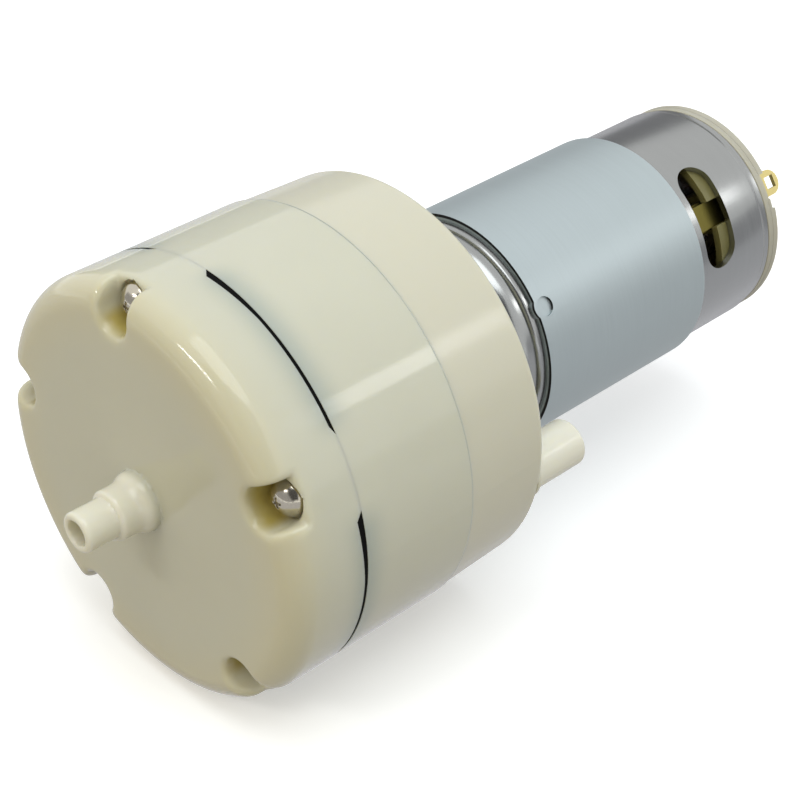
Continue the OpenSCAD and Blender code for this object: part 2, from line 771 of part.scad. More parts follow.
// Drawn can: straight wall, step and rounded shoulder, and a front plate with the bearing spigot
module can_outside() {
    slim = can_r - draw_step;
    shoulder_h = can_front - shoulder_r;
    rotate_extrude() {
        translate([0, can_rear]) square([can_r, can_l - shoulder_r - 1.4]);
        translate([0, can_rear]) square([slim, can_l - shoulder_r]);
        translate([slim - shoulder_r, shoulder_h]) circle(shoulder_r);
        translate([0, shoulder_h - 1]) square([slim - shoulder_r, shoulder_r + 1]);
        translate([can_r - draw_step, shoulder_h - 1.4]) circle(draw_step);
    }
    rod(spigot_r, can_front - 1, spigot_h);
}
module motor_can() color(steel) lay() difference() {
    can_outside();
    rod(can_bore, can_rear - 1, can_front - shoulder_r);
    round_rod(can_bore - draw_step, can_rear, plate_foot, shoulder_r - 1);
    rod(bearing_d / 2 + seat_gap, can_rear, bearing_foot + bearing_w);
    rod(race_r + 1, can_rear, spigot_h + 1);
    round_shaft(2, motor_roll + 90, motor_pitch / 2)
        rod(motor_screw_d / 2 + seat_gap, plate_foot - 1, can_front + 1);
    for (side = [0, 180]) rotate([0, 0, motor_roll + side]) vent();
}

// Vent slot with round ends, bent round the can
module vent() {
    end_r = vent_w / 2;
    turn = vent_arc / 2 - asin(end_r / can_r);
    for (side = [-1, 1]) rotate([0, 0, side * turn]) translate([0, 0, vent_h]) rotate([0, 90, 0])
        rod(end_r, core_r, can_r + 3);
    rotate([0, 0, -turn]) translate([0, 0, vent_h - end_r])
        rotate_extrude(angle = 2 * turn) translate([core_r, 0]) square([can_r + 3 - core_r, vent_w]);
}

// Flux ring: rolled strip with a seam and two punched dimples that push its front edge out
module flux_ring() color(zinc_blue) lay() difference() {
    inner = can_r + seat_gap;
    half = ring_l / 2;
    dimple_h = half - dimple_d / 2 - 0.1;
    union() {
        tube(inner + ring_t, inner, -half, half);
        intersection() {
            tube(inner + ring_t, inner, -half, half + 2);
            for (side = [0, 180]) rotate([0, 0, motor_roll + side]) translate([0, 0, dimple_h])
                rotate([0, 90, 0]) rod(dimple_d / 2 + 0.6, 0, can_r + 3);
        }
    }
    for (side = [0, 180]) rotate([0, 0, motor_roll + side]) translate([0, 0, dimple_h])
        rotate([0, 90, 0]) rod(dimple_d / 2, inner + ring_t - dimple_deep, can_r + 3);
    rotate([0, 0, motor_roll + 225]) translate([0, -0.25, -half - 1]) cube([can_r + 3, 0.5, ring_l + 4]);
}

// Two arc magnets against the can, held apart by bent spring strips
module arc_block(ro, ri, low, high, arc_angle) {
    rotate([0, 0, -arc_angle / 2]) translate([0, 0, low])
        rotate_extrude(angle = arc_angle) translate([ri, 0]) square([ro - ri, high - low]);
}
module magnets() color(graphite) lay() for (side = [90, 270]) rotate([0, 0, motor_roll + side])
    arc_block(magnet_r, magnet_r - magnet_t, magnet_foot, magnet_foot + magnet_l, magnet_arc);
module magnet_springs() color(steel) lay() for (side = [0, 180]) rotate([0, 0, motor_roll + side]) {
    gap_arc = 180 - magnet_arc - 1;
    low = magnet_foot + 4;
    high = magnet_foot + magnet_l - 4;
    arc_block(magnet_r, magnet_r - spring_strip, low, high, gap_arc);
    for (end = [-1, 1]) rotate([0, 0, end * gap_arc / 2])
        translate([magnet_r - magnet_t + 0.6, -(end + 1) * spring_strip / 2 - end * slide_gap, low])
            cube([magnet_t - 0.8, spring_strip, high - low]);
}

// End cap: rim behind the can, skirt inside it, bearing seat and a pillar under each brush box
module end_cap() color(nylon) lay() difference() {
    union() {
        translate([0, 0, can_rear + cap_foot]) mirror([0, 0, 1])
            round_rod(can_r - 0.2, cap_foot, can_rear, 0.5);
        tube(skirt_r, skirt_r - skirt_t, can_rear - 0.5, skirt_top);
        rod(cap_boss_r, cap_foot - 1.6, rear_bearing_foot + bearing_w);
        for (side = [0, 180]) rotate([0, 0, motor_roll + side]) pillar();
    }
    rod(bearing_d / 2 + seat_gap, rear_bearing_foot, rear_bearing_foot + bearing_w + 1);
    for (side = [0, 180]) rotate([0, 0, motor_roll + side]) {
        tab_slot();
        rotate([0, 0, -9.5]) translate([can_r - 2.4, -1.1, cap_foot - 1]) cube([4, 2.2, cap_rim + 0.4]);
        rotate([0, 0, 90]) translate([can_r * 0.68, 0, 0]) rod(2.2, cap_foot - 1, can_rear + 1);
    }
}
module pillar() {
    inner = cap_boss_r - 0.5;
    top = brush_h - box_t / 2;
    translate([inner, -box_w / 2 - 1, can_rear - 0.5])
        cube([skirt_r - skirt_t / 2 - inner, box_w + 2, top - can_rear + 0.5]);
}
module tab_slot() translate([tab_r - tab_t / 2 - seat_gap, -tab_w / 2 - seat_gap, cap_foot - 2])
    cube([can_r, tab_w + 2 * seat_gap, brush_h + box_t - cap_foot + 2]);

// Brass box that guides a carbon brush on to the commutator
module brush_boxes() color(brass) lay() for (side = [0, 180])
    rotate([0, 0, motor_roll + side]) translate([0, 0, brush_h]) box();
module box() {
    inner = comm_r + 1.6;
    outer = tab_r - tab_t / 2 - seat_gap;
    difference() {
        translate([inner, -box_w / 2, -box_t / 2]) cube([outer - inner, box_w, box_t]);
        translate([inner - 1, box_wall - box_w / 2, box_wall - box_t / 2])
            cube([outer, box_w - 2 * box_wall, box_t - 2 * box_wall]);
    }
}
module carbon_brushes() color(graphite) lay() for (side = [0, 180])
    rotate([0, 0, motor_roll + side]) translate([0, 0, brush_h]) difference() {
        translate([comm_r - 0.6, -brush_w / 2, -brush_t / 2]) cube([brush_l + 0.6, brush_w, brush_t]);
        rod(comm_r + run_gap, -brush_t, brush_t);
    }

// Coil spring between a brush and the terminal strip
function coil_ring(i, n, r, length, sides) = let (a = spring_turns * 360 * i / n)
    [for (s = [0 : sides - 1]) let (b = 360 * s / sides, w = spring_wire / 2)
        [(r + w * cos(b)) * cos(a), (r + w * cos(b)) * sin(a), w + (length - 2 * w) * i / n + w * sin(b)]];
module coil(r, length) {
    n = spring_turns * 16;
    sides = 6;
    points = [for (i = [0 : n]) each coil_ring(i, n, r, length, sides)];
    walls = [for (i = [0 : n - 1], s = [0 : sides - 1]) let (t = (s + 1) % sides)
        each [[i * sides + s, i * sides + t, (i + 1) * sides + t],
            [i * sides + s, (i + 1) * sides + t, (i + 1) * sides + s]]];
    first = [for (s = [sides - 1 : -1 : 0]) s];
    last = [for (s = [0 : sides - 1]) n * sides + s];
    polyhedron(points, concat(walls, [first, last]));
}
module brush_springs() color(steel) lay() for (side = [0, 180])
    rotate([0, 0, motor_roll + side]) translate([comm_r + brush_l + seat_gap, 0, brush_h])
        rotate([0, 90, 0]) coil(spring_r, spring_l);

// Terminal strips: a tab with a window outside the cap, and a leg that closes the brush box
module terminals() color(brass) lay() for (side = [0, 180]) rotate([0, 0, motor_roll + side])
    translate([tab_r - tab_t / 2, 0, 0]) rotate([90, 0, 90]) linear_extrude(tab_t) difference() {
        tip = cap_foot - tab_l;
        union() {
            translate([-tab_w / 2, tip + tab_w / 2]) square([tab_w, brush_h + box_t / 2 - tip - tab_w / 2]);
            translate([0, tip + tab_w / 2]) circle(tab_w / 2);
        }
        translate([-tab_w * 0.24, tip + 1.1]) square([tab_w * 0.48, 2.4]);
    }

head_cover();
head_gasket();
valve_plate();
inlet_valves();
outlet_valves();
diaphragm();
pump_block();
rear_housing();
head_screws();
motor_screws();
wobble_plate();
oblique_pin();
eccentric_wheel();
grub_screw();
motor_shaft();
armature_core();
windings();
commutator();
commutator_hub();
bearing_inner_races();
shaft_washers();
front_bearing();
rear_bearing();
motor_can();
flux_ring();
magnets();
magnet_springs();
end_cap();
brush_boxes();
carbon_brushes();
brush_springs();
terminals();
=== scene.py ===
from math import cos, pi, radians, sin

import bmesh
import bpy
from mathutils import Matrix, Vector


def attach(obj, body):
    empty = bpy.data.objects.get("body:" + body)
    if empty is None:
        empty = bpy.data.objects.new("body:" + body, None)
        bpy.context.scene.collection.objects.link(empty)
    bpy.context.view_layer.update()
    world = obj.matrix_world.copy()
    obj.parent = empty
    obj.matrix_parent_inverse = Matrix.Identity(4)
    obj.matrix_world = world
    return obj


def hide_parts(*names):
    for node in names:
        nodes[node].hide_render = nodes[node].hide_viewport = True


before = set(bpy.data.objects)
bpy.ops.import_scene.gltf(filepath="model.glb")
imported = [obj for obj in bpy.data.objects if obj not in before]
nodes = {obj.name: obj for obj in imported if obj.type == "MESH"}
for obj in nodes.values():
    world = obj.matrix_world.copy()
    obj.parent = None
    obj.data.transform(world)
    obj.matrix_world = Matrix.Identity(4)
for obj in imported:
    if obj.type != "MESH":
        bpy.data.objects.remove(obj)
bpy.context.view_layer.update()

# Front cover. The real one is one moulding in a milky ivory plastic that lets a little light in,
# with the stepped outlet nozzle on its face and an open, well rounded notch round each screw.
# Five long screws clamp it on the block, and the diaphragm's lips show in slits at its foot.
MM = 0.001
body_r = 36.5
parting_h = 76.6
joint_h = 54.2
face_h = 91.1
edge_r = 4.8
collar_h = 93.2
step_h = 97.6
tip_h = 103.6
nozzle_collar_r = 5.1
nozzle_base_r = 4.3
nozzle_tip_r = 3.45
nozzle_bore_r = 2.2
nozzle_round = 0.6
collar_round = 1.4
screw_count = 5
screw_circle_r = 32.3
screw_turn = radians(25.2)
half_turn = pi / screw_count
screw_seat_h = 85.0
notch_r = 3.6
notch_round = 2.2
notch_ledge = 1.2
pocket_r = 26.2
pocket_h = 81.6
plenum_r = 14.0
ceiling_h = 88.5
slit_thin = 0.65
slit_wide = 1.2
slit_swell = 11.0
slit_point = 1.4
slit_half = 16.286
slit_under = 0.3


class Field:
    """A number in a node tree that plain arithmetic works on."""

    def __init__(self, tree, socket):
        self.tree, self.socket = tree, socket

    def math(self, operation, *others):
        node = self.tree.nodes.new("ShaderNodeMath")
        node.operation = operation
        for slot, value in zip(node.inputs, (self,) + others):
            if isinstance(value, Field):
                self.tree.links.new(value.socket, slot)
            else:
                slot.default_value = value
        return Field(self.tree, node.outputs[0])

    def __add__(self, other):
        return self.math("ADD", other)

    def __sub__(self, other):
        return self.math("SUBTRACT", other)

    def __mul__(self, other):
        return self.math("MULTIPLY", other)

    def __truediv__(self, other):
        return self.math("DIVIDE", other)

    def __neg__(self):
        return self.math("MULTIPLY", -1.0)

    def root(self):
        return self.math("SQRT")

    def size(self):
        return self.math("ABSOLUTE")

    def least(self, other):
        return self.math("MINIMUM", other)

    def most(self, other):
        return self.math("MAXIMUM", other)

    def join(self, other, blend):
        return self.math("SMOOTH_MIN", other, blend)

    def meet(self, other, blend):
        return self.math("SMOOTH_MAX", other, blend)

    def cut(self, other, blend):
        return self.math("SMOOTH_MAX", -other, blend)

    def rise(self, low, high):
        """Goes smoothly from 0 at the low value to 1 at the high one."""
        node = self.tree.nodes.new("ShaderNodeMapRange")
        node.interpolation_type = "SMOOTHSTEP"
        node.inputs["From Min"].default_value = low
        node.inputs["From Max"].default_value = high
        self.tree.links.new(self.socket, node.inputs["Value"])
        return Field(self.tree, node.outputs[0])


def add(tree, kind, links=(), **settings):
    """Adds a node: settings are its properties, links its input values or sockets by name."""
    node = tree.nodes.new(kind)
    for key, value in settings.items():
        setattr(node, key, value)
    for name, value in dict(links).items():
        slot = node.inputs[name]
        if isinstance(value, Field):
            tree.links.new(value.socket, slot)
        elif isinstance(value, bpy.types.NodeSocket):
            tree.links.new(value, slot)
        else:
            slot.default_value = value
    return node


def spread_axes(tree, vector):
    """A vector's three numbers, in millimetres."""
    split = add(tree, "ShaderNodeSeparateXYZ", {0: vector})
    return [Field(tree, socket) * (1 / MM) for socket in split.outputs]


def places_by_screw(tree, vector, first_turn, circle):
    """Height along the shaft, radius, turn from the nearest screw, and the offsets outwards and
    sideways from that screw's axis."""
    x, y, z = spread_axes(tree, vector)
    r = (x * x + z * z).root()
    around = (z.math("ARCTAN2", x) - first_turn).math("WRAP", half_turn, -half_turn)
    return -y, r, around, r * around.math("COSINE") - circle, r * around.math("SINE")


def new_tree(name, **sizes):
    """A geometry tree with one named number input for each size; returns it and the inputs."""
    tree = bpy.data.node_groups.new(name, "GeometryNodeTree")
    tree.interface.new_socket("Geometry", in_out="INPUT", socket_type="NodeSocketGeometry")
    for size, value in sizes.items():
        socket = tree.interface.new_socket(size, in_out="INPUT", socket_type="NodeSocketFloat")
        socket.default_value = value
    tree.interface.new_socket("Geometry", in_out="OUTPUT", socket_type="NodeSocketGeometry")
    entry = tree.nodes.new("NodeGroupInput")
    return tree, {size: Field(tree, entry.outputs[size]) for size in sizes}


def skin_of(tree, solid, low, high, voxel):
    """The surface where a distance field is zero, as a mesh that lies exactly on it."""
    level = 10.0
    cells = [int(round(v / voxel)) for v in (high - low)]
    block = add(tree, "GeometryNodeVolumeCube", {
        "Density": -solid + level, "Background": 0.0, "Min": low * MM, "Max": high * MM,
        "Resolution X": cells[0], "Resolution Y": cells[1], "Resolution Z": cells[2]})
    skin = add(tree, "GeometryNodeVolumeToMesh", {
        "Volume": block.outputs[0], "Threshold": level, "Adaptivity": 0.0}, resolution_mode="GRID")
    normal = add(tree, "GeometryNodeInputNormal")
    back = add(tree, "ShaderNodeVectorMath", {
        "Vector": normal.outputs[0], "Scale": solid * -MM}, operation="SCALE")
    for _ in range(3):
        skin = add(tree, "GeometryNodeSetPosition", {
            "Geometry": skin.outputs[0], "Offset": back.outputs[0]})
    return skin.outputs[0]


def carve(tree, body, cutters):
    """Takes cutters off a closed mesh."""
    node = add(tree, "GeometryNodeMeshBoolean", {"Mesh 1": body},
               operation="DIFFERENCE", solver="MANIFOLD")
    for cutter in cutters:
        tree.links.new(cutter, node.inputs["Mesh 2"])
    return node.outputs[0]


def close_tree(tree, geometry, material):
    """Ends a tree with real geometry that carries its material."""
    real = add(tree, "GeometryNodeRealizeInstances", {"Geometry": geometry})
    painted = add(tree, "GeometryNodeSetMaterial", {"Geometry": real.outputs[0], "Material": material})
    end = tree.nodes.new("NodeGroupOutput")
    tree.links.new(painted.outputs[0], end.inputs[0])


def smooth(mesh, sharp):
    """Shades a mesh smooth but for its edges over the sharp angle, in degrees."""
    mesh.shade_smooth()
    mesh.set_sharp_from_angle(angle=radians(sharp))


def grow(name, tree):
    """Runs a tree with its sizes as declared, and returns its result as a plain object."""
    carrier = bpy.data.objects.new(name + "_carrier", bpy.data.meshes.new(name + "_carrier"))
    bpy.context.scene.collection.objects.link(carrier)
    modifier = carrier.modifiers.new("grow", "NODES")
    modifier.node_group = tree
    grown = carrier.evaluated_get(bpy.context.evaluated_depsgraph_get())
    mesh = bpy.data.meshes.new_from_object(grown)
    carrier.modifiers.remove(modifier)
    bpy.data.objects.remove(carrier)
    mesh.name = name
    piece = bpy.data.objects.new(name, mesh)
    bpy.context.scene.collection.objects.link(piece)
    smooth(mesh, 40)
    return piece


def shader_group(name, inputs, outputs):
    """A shader node group with named inputs and typed outputs; returns it, its inputs and its end."""
    group = bpy.data.node_groups.new(name, "ShaderNodeTree")
    for label, value in inputs.items():
        kind = "NodeSocketColor" if isinstance(value, tuple) else "NodeSocketFloat"
        group.interface.new_socket(label, in_out="INPUT", socket_type=kind).default_value = value
    for label, kind in outputs.items():
        group.interface.new_socket(label, in_out="OUTPUT", socket_type=kind)
    return group, group.nodes.new("NodeGroupInput"), group.nodes.new("NodeGroupOutput")


def mix(tree, mask, low, high):
    """A colour between two, by a mask."""
    node = add(tree, "ShaderNodeMix", {0: mask}, data_type="RGBA")
    for index, colour in ((6, low), (7, high)):
        if isinstance(colour, tuple):
            node.inputs[index].default_value = (*colour, 1.0)
        else:
            tree.links.new(colour, node.inputs[index])
    return node.outputs[2]


# Moulding marks that all the plastics share: slow clouds of colour, and a faint orange peel.
moulded, entry, result = shader_group(
    "moulded_skin", {"Cloud size": 60.0, "Peel size": 900.0, "Peel depth": 0.03, "Gloss": 0.25},
    {"Cloud": "NodeSocketFloat", "Roughness": "NodeSocketFloat", "Normal": "NodeSocketVector"})
place = add(moulded, "ShaderNodeTexCoord")
cloud = add(moulded, "ShaderNodeTexNoise", {
    "Vector": place.outputs["Object"], "Scale": entry.outputs["Cloud size"],
    "Detail": 3.0, "Roughness": 0.5})
peel = add(moulded, "ShaderNodeTexNoise", {
    "Vector": place.outputs["Object"], "Scale": entry.outputs["Peel size"], "Detail": 2.0})
bump = add(moulded, "ShaderNodeBump", {
    "Height": peel.outputs[0], "Strength": entry.outputs["Peel depth"], "Distance": 0.0002})
gloss = Field(moulded, cloud.outputs[0]) * 0.08 + Field(moulded, entry.outputs["Gloss"])
moulded.links.new(cloud.outputs[0], result.inputs["Cloud"])
moulded.links.new(gloss.socket, result.inputs["Roughness"])
moulded.links.new(bump.outputs[0], result.inputs["Normal"])


def plastic(name, colour, shade, gloss, glow=0.0, peel=0.03):
    """A moulded plastic; glow is how much light it lets in, to a depth of some millimetres."""
    material = bpy.data.materials.new(name)
    material.use_nodes = True
    tree = material.node_tree
    shader = tree.nodes["Principled BSDF"]
    skin = add(tree, "ShaderNodeGroup", {}, node_tree=moulded)
    skin.inputs["Gloss"].default_value = gloss
    skin.inputs["Peel depth"].default_value = peel
    tree.links.new(mix(tree, skin.outputs["Cloud"], colour, shade), shader.inputs["Base Color"])
    tree.links.new(skin.outputs["Roughness"], shader.inputs["Roughness"])
    tree.links.new(skin.outputs["Normal"], shader.inputs["Normal"])
    shader.inputs["Subsurface Weight"].default_value = glow
    shader.inputs["Subsurface Radius"].default_value = (1.0, 0.85, 0.5)
    shader.inputs["Subsurface Scale"].default_value = 3 * MM
    shader.inputs["IOR"].default_value = 1.5
    return material


# Painted light and shade in the milky shell: painted olive shade in the notches and at the cover's rim,
# painted cool, darker shade by the slits for the black rubber seen through the plastic, and a painted
# glow on the spouts. Masks also mark the rear housing and its joint with the block. All of them follow
# the shaft's axis.
shell, entry, result = shader_group(
    "shell_light", {"Screw turn": screw_turn, "Screw circle": screw_circle_r,
                    "Parting height": parting_h, "Joint height": joint_h},
    dict.fromkeys(("Hollow", "Painted rim shade", "Lip", "Painted spout glow", "Joint", "Housing"), "NodeSocketFloat"))
place = add(shell, "ShaderNodeTexCoord")
h, r, around, out, across = places_by_screw(
    shell, place.outputs["Object"], Field(shell, entry.outputs["Screw turn"]),
    Field(shell, entry.outputs["Screw circle"]))
below_joint = Field(shell, entry.outputs["Joint height"]) - h
off_lip = (h - Field(shell, entry.outputs["Parting height"])).size()
near_lip = (-off_lip).rise(-7.0, 0.5)
near_screw = (-(out.least(0.0) * out.least(0.0) + across * across).root()).rise(-5.2, -3.6)
masks = {
    # Painted olive shade in the notches round the screws.
    "Hollow": near_screw * (-out).rise(0.0, 2.5) * h.rise(83.5, 85.5) * (-h).rise(-92.0, -88.0),
    # Painted olive shade on the face by the cover's rim.
    "Painted rim shade": r.rise(23.0, 35.5) * h.rise(81.0, 91.0),
    # Painted cool, darker shade by the slits, for the black rubber seen through the plastic.
    "Lip": near_lip * near_lip * around.size().rise(radians(7), radians(16)),
    # Painted glow: the nozzle and the inlet stub are lighter, for light through the thin plastic.
    "Painted spout glow": h.rise(91.2, 93.5) + (-h).rise(-36.9, -36.0),
    "Joint": (-below_joint.size()).rise(-0.3, -0.05),
    "Housing": below_joint.rise(0.0, 0.2)}
for label, mask in masks.items():
    shell.links.new(mask.socket, result.inputs[label])

ivory = plastic("ivory_plastic", (0.59, 0.585, 0.475), (0.555, 0.55, 0.445), 0.05, glow=0.35, peel=0.01)
tree = ivory.node_tree
shader = tree.nodes["Principled BSDF"]
light = add(tree, "ShaderNodeGroup", {}, node_tree=shell)
tone, finish, bumps = [shader.inputs[label].links[0].from_socket
                       for label in ("Base Color", "Roughness", "Normal")]
# Painted shade and glow are mixed into the ivory's colour here, with the housing's tone and the joint
# line.
for label, share, colour in (
        ("Lip", 0.75, (0.34, 0.385, 0.35)), ("Housing", 0.5, (0.63, 0.595, 0.47)),
        ("Joint", 0.5, (0.50, 0.52, 0.42)), ("Painted rim shade", 0.7, (0.62, 0.58, 0.40)),
        ("Hollow", 0.95, (0.45, 0.36, 0.09)), ("Painted spout glow", 1.0, (0.76, 0.74, 0.63))):
    tone = mix(tree, Field(tree, light.outputs[label]) * share, tone, colour)
tree.links.new(tone, shader.inputs["Base Color"])
finish = Field(tree, finish) + Field(tree, light.outputs["Housing"]) * 0.1
tree.links.new(finish.socket, shader.inputs["Roughness"])
groove = add(tree, "ShaderNodeBump", {
    "Height": light.outputs["Joint"], "Distance": 0.0002, "Normal": bumps}, invert=True)
tree.links.new(groove.outputs[0], shader.inputs["Normal"])

cover_tree, size = new_tree(
    "moulded_cover", outer_radius=body_r, edge_round=edge_r, notch_radius=notch_r,
    notch_round=notch_round, screw_circle=screw_circle_r, face_height=face_h)
place = add(cover_tree, "GeometryNodeInputPosition")
h, r, around, out, across = places_by_screw(
    cover_tree, place.outputs[0], screw_turn, size["screw_circle"])


def rounded_rod(r, h, radius, top, edge):
    """Distance to a rod round the shaft whose upper edge is rounded."""
    side = r - radius + edge
    above = h - top + edge
    corner = (side.most(0.0) * side.most(0.0) + above.most(0.0) * above.most(0.0)).root()
    return corner + side.most(above).least(0.0) - edge


foot = rounded_rod(r, h, nozzle_base_r, step_h, nozzle_round)
tip = rounded_rod(r, h, nozzle_tip_r, tip_h, nozzle_round)
collar = rounded_rod(r, h, nozzle_collar_r, collar_h, collar_round)
nozzle = foot.join(tip, 0.5).join(collar, 2.4)
disc = rounded_rod(r, h, size["outer_radius"], size["face_height"], size["edge_round"])
notch = (out.least(0.0) * out.least(0.0) + across * across).root() - size["notch_radius"]
notch = notch.meet(-(h - screw_seat_h - notch_ledge), 1.0)
seat = (out * out + across * across).root() - size["notch_radius"]
seat = seat.meet(-(h - screw_seat_h), 0.3)
bore = (r - nozzle_bore_r).most(-(h - ceiling_h))
solid = disc.join(nozzle, 0.4).cut(notch, size["notch_round"]).cut(seat, 0.6).cut(bore, 0.5)
foot_spare = 1.0
solid = solid.most(-(h - (parting_h - foot_spare)))
margin = 1.2
cover_voxel = 0.4
skin = skin_of(cover_tree, solid, Vector((-body_r - margin, -tip_h - margin, -body_r - margin)),
               Vector((body_r + margin, -parting_h + foot_spare + margin, body_r + margin)),
               cover_voxel)


def cutter_rod(tree, radius, low, high, sides=120):
    """A closed rod along the shaft between two heights, as a cutter."""
    rod = add(tree, "GeometryNodeMeshCylinder", {
        "Vertices": sides, "Radius": radius * MM, "Depth": (high - low) * MM})
    return add(tree, "GeometryNodeTransform", {
        "Geometry": rod.outputs[0], "Rotation": (radians(90), 0, 0),
        "Translation": (0, -(low + high) / 2 * MM, 0)}).outputs[0]


def slit_outline(tree, corners):
    """A closed outline through (along the arc, down from the parting line) corners."""
    ring = add(tree, "GeometryNodeCurvePrimitiveCircle", {"Resolution": len(corners)})
    index = add(tree, "GeometryNodeInputIndex")
    corner = add(tree, "GeometryNodeIndexSwitch", data_type="VECTOR")
    while len(corner.index_switch_items) < len(corners):
        corner.index_switch_items.new()
    tree.links.new(index.outputs[0], corner.inputs[0])
    for slot, (along, down) in zip(corner.inputs[1:], corners):
        slot.default_value = (along * MM, down * MM, 0.0)
    return add(tree, "GeometryNodeSetPosition", {
        "Geometry": ring.outputs[0], "Position": corner.outputs[0]}).outputs[0]


def between_screws(tree, piece):
    """Turns a piece to each place between two screws, at the parting line."""
    for k in range(screw_count):
        turn = screw_turn + half_turn * (2 * k + 1)
        yield add(tree, "GeometryNodeTransform", {
            "Geometry": piece, "Rotation": (0, radians(90) - turn, 0),
            "Translation": (0, -parting_h * MM, 0)}).outputs[0]


ring = slit_outline(cover_tree, [
    (-slit_half - slit_under * slit_point / slit_wide, slit_under),
    (slit_point - slit_half, -slit_wide), (slit_point + slit_swell - slit_half, -slit_thin),
    (slit_half - slit_point, -slit_thin),
    (slit_half + slit_under * slit_point / slit_thin, slit_under)])
spoke = add(cover_tree, "GeometryNodeCurvePrimitiveLine", {
    "Start": (0, 0, (pocket_r - 2) * MM), "End": (0, 0, (body_r + 1) * MM)})
prism = add(cover_tree, "GeometryNodeCurveToMesh", {
    "Curve": spoke.outputs[0], "Profile Curve": ring, "Fill Caps": True})
cutters = [cutter_rod(cover_tree, body_r + 2, parting_h - 3, parting_h),
           cutter_rod(cover_tree, pocket_r, parting_h - 2, pocket_h),
           cutter_rod(cover_tree, plenum_r, pocket_h - 1, ceiling_h)]
cutters += between_screws(cover_tree, prism.outputs[0])
close_tree(cover_tree, carve(cover_tree, skin, cutters), ivory)
cover = grow("moulded_head_cover", cover_tree)
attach(cover, "pump_frame")
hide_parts("head_cover")

# Middle block and rear housing. Both are moulded in the cover's plastic, the housing with a slight
# draft towards the motor, and they meet in a fine parting line.


def dress(material, *names):
    """Gives CAD nodes a finish."""
    for name in names:
        slots = nodes[name].data.materials
        if not slots:
            slots.append(material)
        for index in range(len(slots)):
            slots[index] = material


dress(ivory, "pump_block", "rear_housing")

# Head screws. Cold-headed steel with a domed head and a cross recess, plated in bright nickel.
# The long shanks run through the cover and the block into the rear housing's bosses.
# All the metals share fine rings of gloss and height round the shaft.
turned, entry, result = shader_group(
    "turned_rings", {"Fineness": 4000.0, "Depth": 0.1, "Gloss": 0.25, "Spread": 0.1},
    {"Mask": "NodeSocketFloat", "Roughness": "NodeSocketFloat", "Normal": "NodeSocketVector"})
place = add(turned, "ShaderNodeTexCoord")
squeeze = add(turned, "ShaderNodeMapping", {
    "Vector": place.outputs["Object"], "Scale": (0.02, 1.0, 0.02)})
lines = add(turned, "ShaderNodeTexNoise", {
    "Vector": squeeze.outputs[0], "Scale": entry.outputs["Fineness"], "Detail": 3.0})
bump = add(turned, "ShaderNodeBump", {
    "Height": lines.outputs[0], "Strength": entry.outputs["Depth"], "Distance": 0.0001})
spread = Field(turned, lines.outputs[0]) * Field(turned, entry.outputs["Spread"])
gloss = spread + Field(turned, entry.outputs["Gloss"])
turned.links.new(lines.outputs[0], result.inputs["Mask"])
turned.links.new(gloss.socket, result.inputs["Roughness"])
turned.links.new(bump.outputs[0], result.inputs["Normal"])


def metal(name, colour, gloss, depth=0.08, purity=1.0):
    """A metal with fine rings round the shaft; depth is how deep they look."""
    material = bpy.data.materials.new(name)
    material.use_nodes = True
    tree = material.node_tree
    shader = tree.nodes["Principled BSDF"]
    skin = add(tree, "ShaderNodeGroup", {}, node_tree=turned)
    skin.inputs["Depth"].default_value = depth
    skin.inputs["Gloss"].default_value = gloss
    tone = mix(tree, skin.outputs["Mask"], tuple(v * 0.94 for v in colour),
               tuple(min(1.0, v * 1.05) for v in colour))
    tree.links.new(tone, shader.inputs["Base Color"])
    tree.links.new(skin.outputs["Roughness"], shader.inputs["Roughness"])
    tree.links.new(skin.outputs["Normal"], shader.inputs["Normal"])
    shader.inputs["Metallic"].default_value = purity
    return material


dome_share = 0.88
recess_slope = 0.45
shank_r = 1.5
shank_length = 36.5
shank_middle = 18.1
screw_tree, size = new_tree(
    "head_screw", head_radius=3.3, head_height=2.9, recess_width=2.0, recess_depth=0.45,
    recess_wing=0.45)
place = add(screw_tree, "GeometryNodeInputPosition")
x, y, h = spread_axes(screw_tree, place.outputs[0])
r = (x * x + y * y).root()
dome = size["head_height"] * dome_share
sphere_r = (size["head_radius"] * size["head_radius"] + dome * dome) / (dome * 2.0)
centre_h = h - size["head_height"] + sphere_r
head = (r * r + centre_h * centre_h).root() - sphere_r
head = head.meet(r - size["head_radius"], 0.35).most(-h)
deep = h - size["head_height"]
wings = x.size().least(y.size()) - size["recess_wing"] * 0.5
taper = r - size["recess_width"] * 0.5 - deep * recess_slope
recess = wings.most(taper).most(-(deep + size["recess_depth"]))
head = head.cut(recess, 0.12)
head_voxel = 0.1
skin = skin_of(screw_tree, head, Vector((-3.6, -3.6, -0.3)), Vector((3.6, 3.6, 3.2)), head_voxel)
shank = add(screw_tree, "GeometryNodeMeshCylinder", {
    "Vertices": 32, "Radius": shank_r * MM, "Depth": shank_length * MM})
shank = add(screw_tree, "GeometryNodeTransform", {
    "Geometry": shank.outputs[0], "Translation": (0, 0, -shank_middle * MM)})
whole = add(screw_tree, "GeometryNodeJoinGeometry")
screw_tree.links.new(skin, whole.inputs[0])
screw_tree.links.new(shank.outputs[0], whole.inputs[0])
ring = add(screw_tree, "GeometryNodeMeshCircle", {
    "Vertices": screw_count, "Radius": screw_circle_r * MM})
turn = add(screw_tree, "FunctionNodeRandomValue", {"Min": 0.0, "Max": pi / 2, "Seed": 3})
turn = [socket for socket in turn.outputs if socket.enabled][0]
twist = add(screw_tree, "ShaderNodeCombineXYZ", {"Z": turn})
placed = add(screw_tree, "GeometryNodeInstanceOnPoints", {
    "Points": ring.outputs[0], "Instance": whole.outputs[0], "Rotation": twist.outputs[0]})
